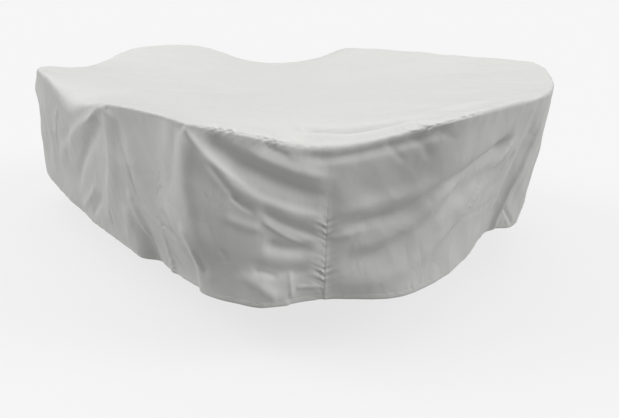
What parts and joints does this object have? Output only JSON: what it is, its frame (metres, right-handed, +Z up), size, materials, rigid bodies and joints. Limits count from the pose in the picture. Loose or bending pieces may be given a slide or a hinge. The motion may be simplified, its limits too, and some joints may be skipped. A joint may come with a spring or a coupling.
{
  "type": "fitted patio furniture cover",
  "caption": "Pale grey fitted cloth cover for a dining table ringed by high-backed chairs: a top sagging between the chair backs and a sewn skirt with drag folds, open below.",
  "frame": {"origin": "underside of the top panel at its middle, where the covered furniture holds the cover up, 0.88 m above the ground", "axes": "+X along the set's long side towards its right end, +Y towards its back, +Z up"},
  "size_m": [3.1063, 2.3675, 0.7828],
  "materials": {
    "cover_cloth": "fine plain-woven polyester, semi-matt with a soft sheen"
  },
  "bodies": {
    "root": {"top_panel": "cover_cloth", "skirt_near_corner": "cover_cloth", "skirt_right_and_back": "cover_cloth", "skirt_far_corner": "cover_cloth", "skirt_left_and_front": "cover_cloth"}
  },
  "joints": []
}
